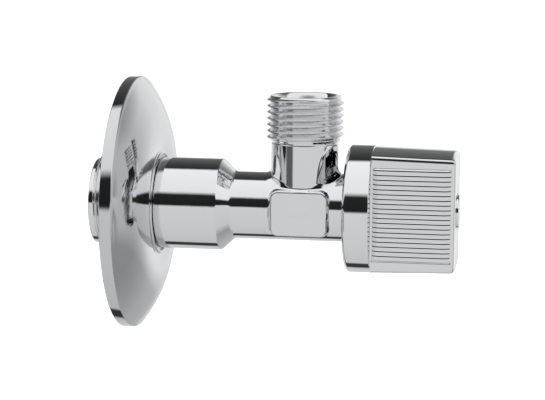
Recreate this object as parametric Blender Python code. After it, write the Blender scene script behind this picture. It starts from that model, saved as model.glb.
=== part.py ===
"""Angle stop valve: G1/2 inlet, G3/8 outlet, compression headwork, flat-sided knob, sliding wall escutcheon.

X runs along the inlet from its open end (X = 0) to the knob, and Z runs up the outlet.
Every turned piece is a row of stations: (position along its axis, radius), where a radius may also be
a function of the angle round the axis, for hexagons, splines and the flat-sided knob.
"""

import math

import bmesh
import bpy

# Driving dimensions, in metres
GAP = 0.0003
OUTLET_X = 0.0459
LENGTH_TO_CAP = 0.0795

BARREL_RADIUS = 0.00995
BARREL_END_X = 0.0280
NECK_RADIUS = 0.0073
NECK_START_X = 0.0308
NECK_END_X = 0.0560

INLET_THREAD_RADIUS = 0.0104
INLET_THREAD_LENGTH = 0.0110
INLET_PILOT_RADIUS = 0.00925
INLET_CHAMFER = 0.00085
INLET_BORE_RADIUS = 0.0070
INLET_BORE_DEPTH = 0.0260

SEAT_BORE_RADIUS = 0.0036
SEAT_LIP_RADIUS = 0.0043
SEAT_X = 0.0413
SEAT_LIP_HEIGHT = 0.0005
CHAMBER_RADIUS = 0.0059

SHANK_RADIUS = 0.00727
OUTLET_HEIGHT = 0.02425
OUTLET_THREAD_RADIUS = 0.0083
OUTLET_THREAD_START = 0.0143
OUTLET_RIM_RADIUS = 0.0079
OUTLET_BORE_RADIUS = 0.0062
OUTLET_PORT_RADIUS = 0.0046
OUTLET_BORE_FLOOR = 0.0120

PAD_MIN_X = -0.0065
PAD_MAX_X = 0.0060
PAD_MIN_Z = -0.0054
PAD_MAX_Z = 0.0045
PAD_HALF_DEPTH = 0.0077
PAD_CORNER_RADIUS = 0.0018

ESCUTCHEON_RADIUS = 0.0275
ESCUTCHEON_BACK_X = 0.0071
ESCUTCHEON_LIP_X = 0.0145
ESCUTCHEON_HOLE_RADIUS = 0.01065
ESCUTCHEON_RIM_WIDTH = 0.0024
ESCUTCHEON_SHEET = 0.0006
ESCUTCHEON_CROWN = 0.0019

KNOB_START_X = 0.05556
KNOB_FLANGE_END_X = 0.0612
KNOB_END_X = 0.0789
KNOB_FLANGE_RADIUS = 0.01375
KNOB_HALF_HEIGHT = 0.01345
KNOB_HALF_HEIGHT_END = 0.01305
KNOB_FLAT = 0.0079
KNOB_LOBE_RADIUS = 0.0290
KNOB_WALL = 0.0015
KNOB_HUB_RADIUS = 0.0059
KNOB_HUB_X = 0.0697
KNOB_RECESS_RADIUS = 0.0039
KNOB_WEB_X = 0.0739
KNOB_WEB_END_X = 0.0750

BONNET_START_X = 0.0499
BONNET_SPIGOT_RADIUS = 0.0056
BONNET_HEX_X = 0.0572
BONNET_HEX_END_X = 0.0600
BONNET_HEX_ACROSS = 0.0170
BONNET_SLEEVE_RADIUS = 0.0060
BONNET_END_X = 0.0675
SEAL_BORE_RADIUS = 0.0045
SEAL_BORE_END_X = 0.0560
GUIDE_ACROSS = 0.0080
GUIDE_END_X = 0.0632
JOURNAL_BORE_RADIUS = 0.0032

STROKE = 0.0030
WASHER_X = SEAT_X + GAP
WASHER_RADIUS = 0.0046
WASHER_THICKNESS = 0.0025
CUP_RADIUS = 0.0055
CUP_DEPTH = 0.0015
PLUNGER_RADIUS = 0.0042
PLUNGER_ACROSS = 0.0075
PLUNGER_END_X = 0.0576
PLUNGER_THREAD_RADIUS = 0.0026
PLUNGER_RING_X = 0.05125
PLUNGER_RING_RADIUS = 0.0040
PLUNGER_RING_WIRE = 0.0005
PLUNGER_GROOVE_WIDTH = 0.0013
SCREW_HOLE_RADIUS = 0.0015

SPINDLE_START_X = 0.0520
SPINDLE_THREAD_RADIUS = 0.0023
COLLAR_X = 0.0612
COLLAR_RADIUS = 0.0038
COLLAR_WIDTH = 0.0010
JOURNAL_RADIUS = 0.0030
TAPPED_HOLE_RADIUS = 0.0020
TAPPED_HOLE_FLOOR = 0.0682
SPLINE_X = 0.0695
SPINDLE_END_X = 0.0736
SPLINE_TEETH = 16
O_RING_X = (0.0645, 0.0661)
O_RING_RADIUS = 0.00266
O_RING_WIRE = 0.00042
O_RING_GROOVE_WIDTH = 0.0010
GROOVE_DEPTH = 0.0009
CLIP_X = 0.0686
CLIP_WIDTH = 0.0006
CLIP_RADIUS = 0.0043
CLIP_MOUTH_DEG = 70

FINE = 60
ROUND = 48
MEDIUM = 36
SMALL = 24


def clear_scene():
    for obj in list(bpy.data.objects):
        bpy.data.objects.remove(obj, do_unlink=True)


def material(name, colour, roughness, metallic):
    made = bpy.data.materials.new(name)
    made.use_nodes = True
    shader = made.node_tree.nodes["Principled BSDF"]
    shader.inputs["Base Color"].default_value = (*colour, 1.0)
    shader.inputs["Roughness"].default_value = roughness
    shader.inputs["Metallic"].default_value = metallic
    return made


def polygon(across, sides):
    """Radius of a regular polygon at an angle, from its size across flats."""
    step = 2 * math.pi / sides

    def radius(angle):
        return across / 2 / math.cos(angle % step - step / 2)

    return radius


def splined(outer, inner, teeth):
    """Radius of a fine spline, a tooth at each multiple of a turn over the teeth."""

    def radius(angle):
        return outer if math.cos(angle * teeth) > 0 else inner

    return radius


def flat_sided(half_height, inset=0.0):
    """Radius of the knob's section: flats that face -Y and +Y, gently crowned top and bottom, soft corners.

    inset is how far the whole section is drawn in, for the cavity and the rounded end.
    """
    flat = KNOB_FLAT - inset
    top = half_height - inset
    sharpness = 24

    def section(angle):
        to_flat = flat / max(abs(math.cos(angle)), 1e-6)
        drop = (KNOB_LOBE_RADIUS - top) * abs(math.sin(angle))
        reach = KNOB_LOBE_RADIUS**2 - (KNOB_LOBE_RADIUS - top) ** 2
        to_lobe = math.sqrt(drop**2 + reach) - drop
        return (to_lobe**-sharpness + to_flat**-sharpness) ** (-1 / sharpness)

    return section


def ring_of(mesh, along, radius, segments, axis):
    """One ring of vertices at a station, or a single vertex where the radius is zero."""
    if radius == 0:
        at = (along, 0, 0) if axis == "X" else (0, 0, along)
        return [mesh.verts.new(at)]
    ring = []
    for index in range(segments):
        angle = 2 * math.pi * index / segments
        reach = radius(angle) if callable(radius) else radius
        side, up = reach * math.cos(angle), reach * math.sin(angle)
        ring.append(mesh.verts.new((along, side, up) if axis == "X" else (side, up, along)))
    return ring


def turned(name, stations, start, segments=SMALL, axis="X", loop=False):
    """A solid of revolution with its origin at start on its own axis.

    stations run down the outer side and back along the inner one. With loop, the last station joins
    the first, which leaves a hole through the middle; without it, both ends lie on the axis.
    """
    mesh = bmesh.new()
    rings = [ring_of(mesh, along - start, radius, segments, axis) for along, radius in stations]
    pairs = list(zip(rings, rings[1:]))
    if loop:
        pairs.append((rings[-1], rings[0]))
    for first, second in pairs:
        for index in range(segments):
            after = (index + 1) % segments
            corners = [first[index % len(first)], first[after % len(first)]]
            corners += [second[after % len(second)], second[index % len(second)]]
            mesh.faces.new(list(dict.fromkeys(corners)))
    bmesh.ops.recalc_face_normals(mesh, faces=mesh.faces)
    return as_object(name, mesh, (start, 0, 0) if axis == "X" else (0, 0, start))


def as_object(name, mesh, location):
    data = bpy.data.meshes.new(name)
    mesh.to_mesh(data)
    mesh.free()
    data.shade_smooth()
    data.set_sharp_from_angle(angle=math.radians(35))
    obj = bpy.data.objects.new(name, data)
    obj.location = location
    bpy.context.scene.collection.objects.link(obj)
    return obj


def finish(obj, finish_material, parent):
    """Gives a piece its material and hangs it on the empty of the body it moves with."""
    obj.data.materials.append(finish_material)
    obj.location = obj.location - parent.location
    obj.parent = parent
    return obj


def combine(obj, other, operation):
    """Joins a helper to a piece, or cuts it away, and hides the helper."""
    other.hide_render = True
    other.display_type = "WIRE"
    modifier = obj.modifiers.new(f"{operation.lower()} {other.name}", "BOOLEAN")
    modifier.operation = operation
    modifier.solver = "EXACT"
    modifier.object = other


def axis_empty(name, along):
    empty = bpy.data.objects.new(name, None)
    empty.location = (along, 0, 0)
    bpy.context.scene.collection.objects.link(empty)
    return empty


def tube(name, x, width, inner, outer, segments=SMALL):
    """A plain washer or ring."""
    stations = [(x, inner), (x, outer), (x + width, outer), (x + width, inner)]
    return turned(name, stations, x, segments, loop=True)


def o_ring(name, x, middle_radius, wire_radius):
    """A rubber O-ring centred on x."""
    sides = 6
    stations = []
    for index in range(sides):
        angle = 2 * math.pi * (index + 0.5) / sides
        stations.append((x + wire_radius * math.cos(angle), middle_radius + wire_radius * math.sin(angle)))
    return turned(name, stations, x, SMALL, loop=True)


# --- Fixed pieces ---------------------------------------------------------------------------------


def inlet_and_neck():
    """Inlet thread, barrel, cone and neck in one turned solid along X."""
    stations = [
        (0, 0),
        (0, INLET_PILOT_RADIUS),
        (INLET_CHAMFER, INLET_THREAD_RADIUS),
        (INLET_THREAD_LENGTH, INLET_THREAD_RADIUS),
        (INLET_THREAD_LENGTH + 0.0004, BARREL_RADIUS),
        (BARREL_END_X, BARREL_RADIUS),
        (NECK_START_X, NECK_RADIUS),
        (NECK_END_X, NECK_RADIUS),
        (NECK_END_X, 0),
    ]
    return turned("valve_body", stations, 0, ROUND)


def outlet_shank():
    """Plain shank and thread of the outlet, along Z."""
    stations = [
        (0, 0),
        (0, SHANK_RADIUS),
        (OUTLET_THREAD_START, SHANK_RADIUS),
        (OUTLET_THREAD_START + 0.0006, OUTLET_THREAD_RADIUS),
        (OUTLET_HEIGHT - 0.0004, OUTLET_THREAD_RADIUS),
        (OUTLET_HEIGHT, OUTLET_RIM_RADIUS),
        (OUTLET_HEIGHT, 0),
    ]
    shank = turned("outlet_shank_helper", stations, 0, ROUND, axis="Z")
    shank.location.x = OUTLET_X
    return shank


def flat_pad():
    """Block with rounded corners whose two faces are the flat pads at the sides of the corner."""
    mesh = bmesh.new()
    bmesh.ops.create_cube(mesh, size=1)
    size = (PAD_MAX_X - PAD_MIN_X, 2 * PAD_HALF_DEPTH, PAD_MAX_Z - PAD_MIN_Z)
    centre = (OUTLET_X + (PAD_MAX_X + PAD_MIN_X) / 2, 0, (PAD_MAX_Z + PAD_MIN_Z) / 2)
    bmesh.ops.scale(mesh, vec=size, verts=mesh.verts)
    across = [edge for edge in mesh.edges if abs(edge.verts[0].co.y - edge.verts[1].co.y) > PAD_HALF_DEPTH]
    bmesh.ops.bevel(mesh, geom=across, offset=PAD_CORNER_RADIUS, segments=4, profile=0.5, affect="EDGES")
    return as_object("flat_pad_helper", mesh, centre)


def inlet_cutter():
    """Inlet bore, seat bore, raised seat lip and valve chamber."""
    stations = [
        (-0.001, 0),
        (-0.001, INLET_BORE_RADIUS),
        (INLET_BORE_DEPTH, INLET_BORE_RADIUS),
        (NECK_START_X - 0.0006, SEAT_BORE_RADIUS),
        (SEAT_X, SEAT_BORE_RADIUS),
        (SEAT_X, SEAT_LIP_RADIUS),
        (SEAT_X - SEAT_LIP_HEIGHT, SEAT_LIP_RADIUS),
        (SEAT_X - SEAT_LIP_HEIGHT, CHAMBER_RADIUS),
        (NECK_END_X + 0.001, CHAMBER_RADIUS),
        (NECK_END_X + 0.001, 0),
    ]
    return turned("inlet_cutter", stations, 0, ROUND)


def outlet_cutter():
    """Outlet bore with its mouth chamfer, down into the valve chamber."""
    stations = [
        (0, 0),
        (0, OUTLET_PORT_RADIUS),
        (OUTLET_BORE_FLOOR - 0.0016, OUTLET_PORT_RADIUS),
        (OUTLET_BORE_FLOOR, OUTLET_BORE_RADIUS),
        (OUTLET_HEIGHT - 0.0004, OUTLET_BORE_RADIUS),
        (OUTLET_HEIGHT + 0.0010, OUTLET_BORE_RADIUS + 0.0014),
        (OUTLET_HEIGHT + 0.0010, 0),
    ]
    cutter = turned("outlet_cutter", stations, 0, ROUND, axis="Z")
    cutter.location.x = OUTLET_X
    return cutter


def valve_body():
    body = inlet_and_neck()
    combine(body, outlet_shank(), "UNION")
    combine(body, flat_pad(), "UNION")
    combine(body, inlet_cutter(), "DIFFERENCE")
    combine(body, outlet_cutter(), "DIFFERENCE")
    return body


def bonnet():
    """Headwork body: spigot in the neck, hexagon, and the sleeve that carries the spindle."""
    hexagon = polygon(BONNET_HEX_ACROSS, 6)
    guide = polygon(GUIDE_ACROSS, 6)
    stations = [
        (BONNET_START_X, BONNET_SPIGOT_RADIUS),
        (BONNET_HEX_X, BONNET_SPIGOT_RADIUS),
        (BONNET_HEX_X, hexagon),
        (BONNET_HEX_END_X, hexagon),
        (BONNET_HEX_END_X, BONNET_SLEEVE_RADIUS),
        (BONNET_END_X - 0.0004, BONNET_SLEEVE_RADIUS),
        (BONNET_END_X, BONNET_SLEEVE_RADIUS - 0.0004),
        (BONNET_END_X, JOURNAL_BORE_RADIUS),
        (GUIDE_END_X, JOURNAL_BORE_RADIUS),
        (GUIDE_END_X, guide),
        (SEAL_BORE_END_X, guide),
        (SEAL_BORE_END_X, SEAL_BORE_RADIUS + 0.0002),
        (BONNET_START_X, SEAL_BORE_RADIUS + 0.0002),
    ]
    return turned("bonnet", stations, BONNET_START_X, MEDIUM, loop=True)


def bonnet_gasket():
    width = BONNET_HEX_X - NECK_END_X - 2 * GAP
    inner = BONNET_SPIGOT_RADIUS + GAP
    return tube("bonnet_gasket", NECK_END_X + GAP, width, inner, NECK_RADIUS, MEDIUM)


def thrust_washer():
    collar_end = COLLAR_X + COLLAR_WIDTH
    width = GUIDE_END_X - collar_end - 0.0005
    return tube("thrust_washer", collar_end + 0.00025, width, JOURNAL_RADIUS + 0.00015, COLLAR_RADIUS)


def clip_washer():
    return tube("clip_washer", BONNET_END_X + GAP, 0.0005, JOURNAL_RADIUS + 0.0002, 0.0050)


# --- Plunger, which slides ------------------------------------------------------------------------


def plunger():
    """Washer cup, sealed round part and hexagon guide, tapped at both ends."""
    floor = WASHER_X + WASHER_THICKNESS + GAP
    hexagon = polygon(PLUNGER_ACROSS, 6)
    cup_end = floor + 0.0012
    groove = PLUNGER_RING_X - PLUNGER_GROOVE_WIDTH / 2
    groove_end = groove + PLUNGER_GROOVE_WIDTH
    groove_radius = PLUNGER_RADIUS - GROOVE_DEPTH
    stations = [
        (floor + 0.0026, 0),
        (floor + 0.0026, SCREW_HOLE_RADIUS),
        (floor, SCREW_HOLE_RADIUS),
        (floor, WASHER_RADIUS + GAP),
        (floor - CUP_DEPTH, WASHER_RADIUS + GAP),
        (floor - CUP_DEPTH, CUP_RADIUS),
        (cup_end, CUP_RADIUS),
        (cup_end, PLUNGER_RADIUS),
        (groove, PLUNGER_RADIUS),
        (groove, groove_radius),
        (groove_end, groove_radius),
        (groove_end, PLUNGER_RADIUS),
        (groove_end + 0.0004, PLUNGER_RADIUS),
        (groove_end + 0.0008, hexagon),
        (PLUNGER_END_X, hexagon),
        (PLUNGER_END_X, PLUNGER_THREAD_RADIUS),
        (floor + 0.0036, PLUNGER_THREAD_RADIUS),
        (floor + 0.0036, 0),
    ]
    return turned("plunger", stations, floor, SMALL)


def valve_washer():
    return tube("valve_washer", WASHER_X, WASHER_THICKNESS, SCREW_HOLE_RADIUS + GAP, WASHER_RADIUS)


def washer_screw():
    """Cheese-head screw that holds the rubber washer in its cup."""
    head_end = WASHER_X - 0.0002
    shank = SCREW_HOLE_RADIUS - 0.0002
    tip = WASHER_X + WASHER_THICKNESS + GAP + 0.0023
    stations = [
        (head_end - 0.0011, 0),
        (head_end - 0.0011, 0.0023),
        (head_end - 0.0008, 0.0026),
        (head_end, 0.0026),
        (head_end, shank),
        (tip, shank),
        (tip, 0),
    ]
    return turned("washer_screw", stations, head_end, SMALL)


# --- Spindle and knob, which turn together --------------------------------------------------------


def spindle():
    """Threaded tail, thrust collar, journal with two O-ring grooves, clip groove and splined end."""
    spline = splined(JOURNAL_RADIUS, JOURNAL_RADIUS - 0.0003, SPLINE_TEETH)
    groove_radius = JOURNAL_RADIUS - GROOVE_DEPTH
    half_groove = O_RING_GROOVE_WIDTH / 2
    collar_end = COLLAR_X + COLLAR_WIDTH
    stations = [
        (SPINDLE_START_X, 0),
        (SPINDLE_START_X, SPINDLE_THREAD_RADIUS - 0.0003),
        (SPINDLE_START_X + 0.0003, SPINDLE_THREAD_RADIUS),
        (COLLAR_X, SPINDLE_THREAD_RADIUS),
        (COLLAR_X, COLLAR_RADIUS),
        (collar_end, COLLAR_RADIUS),
        (collar_end, JOURNAL_RADIUS),
    ]
    for middle in O_RING_X:
        stations += [
            (middle - half_groove, JOURNAL_RADIUS),
            (middle - half_groove, groove_radius),
            (middle + half_groove, groove_radius),
            (middle + half_groove, JOURNAL_RADIUS),
        ]
    clip_bottom = JOURNAL_RADIUS - 0.0005
    stations += [
        (CLIP_X - 0.0001, JOURNAL_RADIUS),
        (CLIP_X - 0.0001, clip_bottom),
        (CLIP_X + CLIP_WIDTH + 0.0001, clip_bottom),
        (CLIP_X + CLIP_WIDTH + 0.0001, JOURNAL_RADIUS),
        (SPLINE_X, JOURNAL_RADIUS),
        (SPLINE_X, spline),
        (SPINDLE_END_X, spline),
        (SPINDLE_END_X, TAPPED_HOLE_RADIUS),
        (TAPPED_HOLE_FLOOR, TAPPED_HOLE_RADIUS),
        (TAPPED_HOLE_FLOOR, 0),
    ]
    return turned("spindle", stations, COLLAR_X, 2 * SPLINE_TEETH)


def retaining_clip():
    """Open spring clip: a flat ring with its mouth facing down."""
    inner, outer = JOURNAL_RADIUS - 0.0003, CLIP_RADIUS
    steps = 24
    mouth = math.radians(CLIP_MOUTH_DEG)
    mesh = bmesh.new()
    quads = []
    for index in range(steps + 1):
        angle = -math.pi / 2 + mouth / 2 + (2 * math.pi - mouth) * index / steps
        corners = []
        for radius, along in ((inner, 0), (outer, 0), (outer, CLIP_WIDTH), (inner, CLIP_WIDTH)):
            corners.append(mesh.verts.new((along, radius * math.cos(angle), radius * math.sin(angle))))
        quads.append(corners)
    for first, second in zip(quads, quads[1:]):
        for index in range(4):
            after = (index + 1) % 4
            mesh.faces.new((first[index], first[after], second[after], second[index]))
    mesh.faces.new(quads[0])
    mesh.faces.new(quads[-1])
    bmesh.ops.recalc_face_normals(mesh, faces=mesh.faces)
    return as_object("retaining_clip", mesh, (CLIP_X, 0, 0))


def knob_stations():
    """Down the outside of the knob, in through the screw recess and the hub, and back along the cavity."""
    body = flat_sided(KNOB_HALF_HEIGHT)
    body_end = flat_sided(KNOB_HALF_HEIGHT_END)
    edge = flat_sided(KNOB_HALF_HEIGHT_END, 0.00015)
    end_face = flat_sided(KNOB_HALF_HEIGHT_END, 0.0005)
    cavity = flat_sided(KNOB_HALF_HEIGHT, KNOB_WALL)
    cavity_end = flat_sided(KNOB_HALF_HEIGHT_END, KNOB_WALL)
    ceiling = KNOB_END_X - KNOB_WALL
    flange_inner = KNOB_FLANGE_RADIUS - KNOB_WALL
    insert_bore = KNOB_HUB_RADIUS - 0.0011
    return [
        (KNOB_START_X, KNOB_FLANGE_RADIUS - 0.0008),
        (KNOB_START_X + 0.00023, KNOB_FLANGE_RADIUS - 0.00023),
        (KNOB_START_X + 0.0008, KNOB_FLANGE_RADIUS),
        (KNOB_FLANGE_END_X - 0.0003, KNOB_FLANGE_RADIUS),
        (KNOB_FLANGE_END_X, KNOB_FLANGE_RADIUS - 0.0002),
        (KNOB_FLANGE_END_X, body),
        (KNOB_END_X - 0.0005, body_end),
        (KNOB_END_X - 0.00015, edge),
        (KNOB_END_X, end_face),
        (KNOB_END_X, KNOB_RECESS_RADIUS),
        (KNOB_WEB_END_X, KNOB_RECESS_RADIUS),
        (KNOB_WEB_END_X, 0.0023),
        (KNOB_WEB_X, 0.0023),
        (KNOB_WEB_X, insert_bore),
        (KNOB_HUB_X, insert_bore),
        (KNOB_HUB_X, KNOB_HUB_RADIUS),
        (ceiling, KNOB_HUB_RADIUS),
        (ceiling, cavity_end),
        (KNOB_FLANGE_END_X - 0.0008, cavity),
        (KNOB_FLANGE_END_X - 0.0008, flange_inner),
        (KNOB_START_X, flange_inner),
    ]


def knob():
    return turned("knob", knob_stations(), KNOB_START_X, FINE, loop=True)


def knob_insert():
    """Splined brass bush moulded into the hub."""
    outer = KNOB_HUB_RADIUS - 0.0011 - GAP
    bore = splined(JOURNAL_RADIUS + 0.0003, JOURNAL_RADIUS, SPLINE_TEETH)
    start, end = KNOB_HUB_X + 0.0002, KNOB_WEB_X - GAP
    stations = [(start, bore), (start, outer), (end, outer), (end, bore)]
    return turned("knob_insert", stations, start, 2 * SPLINE_TEETH, loop=True)


def knob_screw():
    head = KNOB_WEB_END_X + 0.0012
    tip = TAPPED_HOLE_FLOOR + 0.0005
    stations = [
        (tip, 0),
        (tip, 0.0012),
        (tip + 0.0005, 0.00175),
        (head, 0.00175),
        (head, 0.0032),
        (head + 0.0010, 0.0031),
        (head + 0.0015, 0.0024),
        (head + 0.0015, 0),
    ]
    return turned("knob_screw", stations, tip, SMALL)


def lock_washer():
    return tube("lock_washer", KNOB_WEB_END_X + GAP, 0.0006, 0.0021, 0.0034)


def index_cap():
    """Push-in cap over the screw recess, with a softened edge."""
    radius = KNOB_RECESS_RADIUS - GAP
    back = KNOB_END_X - 0.0007
    stations = [
        (back, 0),
        (back, radius - 0.0002),
        (back + 0.0002, radius),
        (LENGTH_TO_CAP - 0.0003, radius),
        (LENGTH_TO_CAP - 0.0001, radius - 0.0001),
        (LENGTH_TO_CAP, radius - 0.0004),
        (LENGTH_TO_CAP, 0),
    ]
    return turned("index_cap", stations, back, ROUND)


# --- Escutcheon, which slides on the barrel -------------------------------------------------------


def dome_points(rise):
    """Convex face of the escutcheon, from its border in to its hole, moved back by rise."""
    rim_end = ESCUTCHEON_BACK_X + ESCUTCHEON_RIM_WIDTH
    border = (rim_end + 0.0003, ESCUTCHEON_RADIUS - 0.0005 - rise)
    lip = (ESCUTCHEON_LIP_X - 0.0004, ESCUTCHEON_HOLE_RADIUS + 0.0007)
    steps = 8
    points = []
    for index in range(steps + 1):
        part = index / steps
        crown = 4 * ESCUTCHEON_CROWN * part * (1 - part)
        along = border[0] + (lip[0] - border[0]) * part + crown - rise
        points.append((along, border[1] + (lip[1] - border[1]) * part))
    return points


def escutcheon():
    """Pressed sheet dish: rim wall, domed face and a rolled hole lip."""
    rim_end = ESCUTCHEON_BACK_X + ESCUTCHEON_RIM_WIDTH
    inner_radius = ESCUTCHEON_RADIUS - ESCUTCHEON_SHEET
    stations = [
        (ESCUTCHEON_BACK_X, ESCUTCHEON_RADIUS),
        (rim_end, ESCUTCHEON_RADIUS),
        *dome_points(0),
        (ESCUTCHEON_LIP_X, ESCUTCHEON_HOLE_RADIUS + 0.0003),
        (ESCUTCHEON_LIP_X - 0.0002, ESCUTCHEON_HOLE_RADIUS),
        (ESCUTCHEON_LIP_X - 0.0009, ESCUTCHEON_HOLE_RADIUS),
        *reversed(dome_points(ESCUTCHEON_SHEET)),
        (rim_end - 0.0006, inner_radius),
        (ESCUTCHEON_BACK_X, inner_radius),
    ]
    return turned("escutcheon", stations, ESCUTCHEON_LIP_X, FINE, loop=True)


def build():
    clear_scene()
    chrome = material("chromed brass", (0.80, 0.80, 0.82), 0.06, 1.0)
    sheet = material("chromed steel sheet", (0.76, 0.76, 0.78), 0.12, 1.0)
    plated = material("chromed ABS", (0.82, 0.82, 0.84), 0.07, 1.0)
    brass = material("turned brass", (0.72, 0.52, 0.22), 0.30, 1.0)
    steel = material("zinc plated steel", (0.60, 0.62, 0.64), 0.32, 1.0)
    rubber = material("black EPDM rubber", (0.03, 0.03, 0.03), 0.75, 0.0)
    fibre = material("red fibre", (0.40, 0.12, 0.08), 0.85, 0.0)
    nylon = material("white PTFE", (0.90, 0.90, 0.88), 0.45, 0.0)

    root = axis_empty("valve", 0)
    turning = axis_empty("spindle_axis", COLLAR_X)
    sliding = axis_empty("plunger_axis", SEAT_X)
    wall = axis_empty("escutcheon_axis", ESCUTCHEON_LIP_X)

    finish(valve_body(), chrome, root)
    finish(bonnet(), brass, root)
    finish(bonnet_gasket(), fibre, root)
    finish(thrust_washer(), nylon, root)
    finish(clip_washer(), brass, root)

    finish(spindle(), brass, turning)
    for name, x in zip(("spindle_o_ring_inner", "spindle_o_ring_outer"), O_RING_X):
        finish(o_ring(name, x, O_RING_RADIUS, O_RING_WIRE), rubber, turning)
    finish(retaining_clip(), steel, turning)
    finish(knob(), plated, turning)
    finish(knob_insert(), brass, turning)
    finish(lock_washer(), steel, turning)
    finish(knob_screw(), steel, turning)
    finish(index_cap(), plated, turning)

    finish(plunger(), brass, sliding)
    plunger_ring = o_ring("plunger_o_ring", PLUNGER_RING_X, PLUNGER_RING_RADIUS, PLUNGER_RING_WIRE)
    finish(plunger_ring, rubber, sliding)
    finish(valve_washer(), rubber, sliding)
    finish(washer_screw(), brass, sliding)

    finish(escutcheon(), sheet, wall)


build()
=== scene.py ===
import math

import bmesh
import bpy
import numpy as np
from bpy.props import FloatProperty, FloatVectorProperty, IntProperty, PointerProperty
from mathutils import Matrix, Vector


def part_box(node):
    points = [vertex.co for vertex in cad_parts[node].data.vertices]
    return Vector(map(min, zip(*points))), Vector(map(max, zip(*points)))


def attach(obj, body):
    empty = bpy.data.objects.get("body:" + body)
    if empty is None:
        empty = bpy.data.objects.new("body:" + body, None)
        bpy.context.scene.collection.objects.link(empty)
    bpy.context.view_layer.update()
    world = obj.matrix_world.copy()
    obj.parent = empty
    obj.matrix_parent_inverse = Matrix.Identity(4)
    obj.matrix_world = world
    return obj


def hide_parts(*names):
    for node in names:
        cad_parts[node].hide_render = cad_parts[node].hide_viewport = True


bl_info = {
    "name": "Angle Stop Valve",
    "version": (1, 0, 0),
    "blender": (4, 5, 0),
    "location": "3D View > Sidebar > Valve",
    "description": "Builds the chromed body, threads, knob and escutcheon of an angle stop valve",
    "category": "Add Mesh",
}

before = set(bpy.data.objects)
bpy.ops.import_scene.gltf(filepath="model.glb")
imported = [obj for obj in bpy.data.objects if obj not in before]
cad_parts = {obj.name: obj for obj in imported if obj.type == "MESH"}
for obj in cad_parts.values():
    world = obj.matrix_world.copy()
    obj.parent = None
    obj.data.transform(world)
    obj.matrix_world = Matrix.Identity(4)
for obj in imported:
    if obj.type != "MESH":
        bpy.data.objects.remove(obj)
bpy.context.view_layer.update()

body_low, body_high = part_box("valve_body")
knob_low, knob_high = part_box("knob")
cap_low, cap_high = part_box("index_cap")
plate_low, plate_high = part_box("escutcheon")

MM = 0.001
OUTLET_X = 0.0459
NECK_RADIUS = 7.3 * MM
SHANK_RADIUS = 7.27 * MM
FINE_TURN = 256


# --- Small helpers --------------------------------------------------------------------------------


def linear(code):
    """An sRGB hex value as the linear colour that shaders take."""
    channels = [int(code[i : i + 2], 16) / 255 for i in (1, 3, 5)]
    return tuple(c / 12.92 if c <= 0.04045 else ((c + 0.055) / 1.055) ** 2.4 for c in channels)


def add(tree, kind, inputs=None, **settings):
    """Adds a node, sets its properties, and fills or links its inputs by name or number."""
    made = tree.nodes.new(kind)
    for name, value in settings.items():
        setattr(made, name, value)
    for key, value in (inputs or {}).items():
        if isinstance(value, bpy.types.NodeSocket):
            tree.links.new(value, made.inputs[key])
        else:
            made.inputs[key].default_value = value
    return made


def calculator(tree):
    """A function that adds a Math node to the tree and returns its result."""

    def calc(operation, one, two=0.0):
        return add(tree, "ShaderNodeMath", {0: one, 1: two}, operation=operation).outputs[0]

    return calc


def combined(tree, x=0.0, y=0.0, z=0.0):
    return add(tree, "ShaderNodeCombineXYZ", {0: x, 1: y, 2: z}).outputs[0]


def length(name, description, default, **more):
    """A setting in metres."""
    return FloatProperty(
        name=name, description=description, default=default, unit="LENGTH", **more
    )


def tint(name, description, code):
    """A colour setting, from an sRGB hex value."""
    return FloatVectorProperty(
        name=name, description=description, subtype="COLOR", default=linear(code)
    )


def rotation(name, description, degrees):
    """A setting in radians, from degrees."""
    return FloatProperty(
        name=name, description=description, default=math.radians(degrees), unit="ROTATION"
    )


def softened(*points, steps=6):
    """A profile with its corners rounded. Each point is (along, radius, rounding)."""
    rounded = [points[0][:2]]
    for before, corner, after in zip(points, points[1:], points[2:]):
        at = Vector(corner[:2])
        back = Vector(before[:2]) - at
        ahead = Vector(after[:2]) - at
        half = back.angle(ahead) / 2
        if corner[2] == 0 or half > math.radians(89):
            rounded.append(tuple(at))
            continue
        reach = min(corner[2] / math.tan(half), back.length * 0.49, ahead.length * 0.49)
        start = at + back.normalized() * reach
        end = at + ahead.normalized() * reach
        for step in range(steps + 1):
            part = step / steps
            middle = 2 * at * part * (1 - part)
            rounded.append(tuple(start * (1 - part) ** 2 + middle + end * part**2))
    rounded.append(points[-1][:2])
    return rounded


def revolved(name, stations, segments=FINE_TURN, axis="X", centre=(0, 0), loop=True, turn=None):
    """A closed solid of revolution. A radius may be a function of the angle round the axis.

    stations run down the outer side and back along the inner one. Without loop the two ends lie on
    the axis and close in a single point each.
    """
    turn = np.linspace(0, 2 * math.pi, segments, endpoint=False) if turn is None else turn
    segments = len(turn)
    points, rings = [], []
    for along, radius in stations:
        at_pole = not callable(radius) and radius == 0
        angles = turn[:1] if at_pole else turn
        reach = np.array([radius(a) for a in angles]) if callable(radius) else radius
        side, up = reach * np.cos(angles), reach * np.sin(angles)
        lengths = np.full(len(angles), along)
        columns = (lengths, side, up) if axis == "X" else (side, up, lengths)
        first = len(points)
        points.extend(np.column_stack(columns))
        rings.append(list(range(first, first + len(angles))))
    faces = []
    pairs = list(zip(rings, rings[1:])) + ([(rings[-1], rings[0])] if loop else [])
    for one, two in pairs:
        for i in range(segments):
            j = (i + 1) % segments
            corners = [one[i % len(one)], one[j % len(one)], two[j % len(two)], two[i % len(two)]]
            faces.append(tuple(dict.fromkeys(corners)))
    mesh = bpy.data.meshes.new(name)
    mesh.from_pydata([tuple(p) for p in points], [], faces)
    offset = (0, *centre) if axis == "X" else (*centre, 0)
    mesh.transform(Matrix.Translation(offset))
    return linked(name, outward(mesh))


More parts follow.
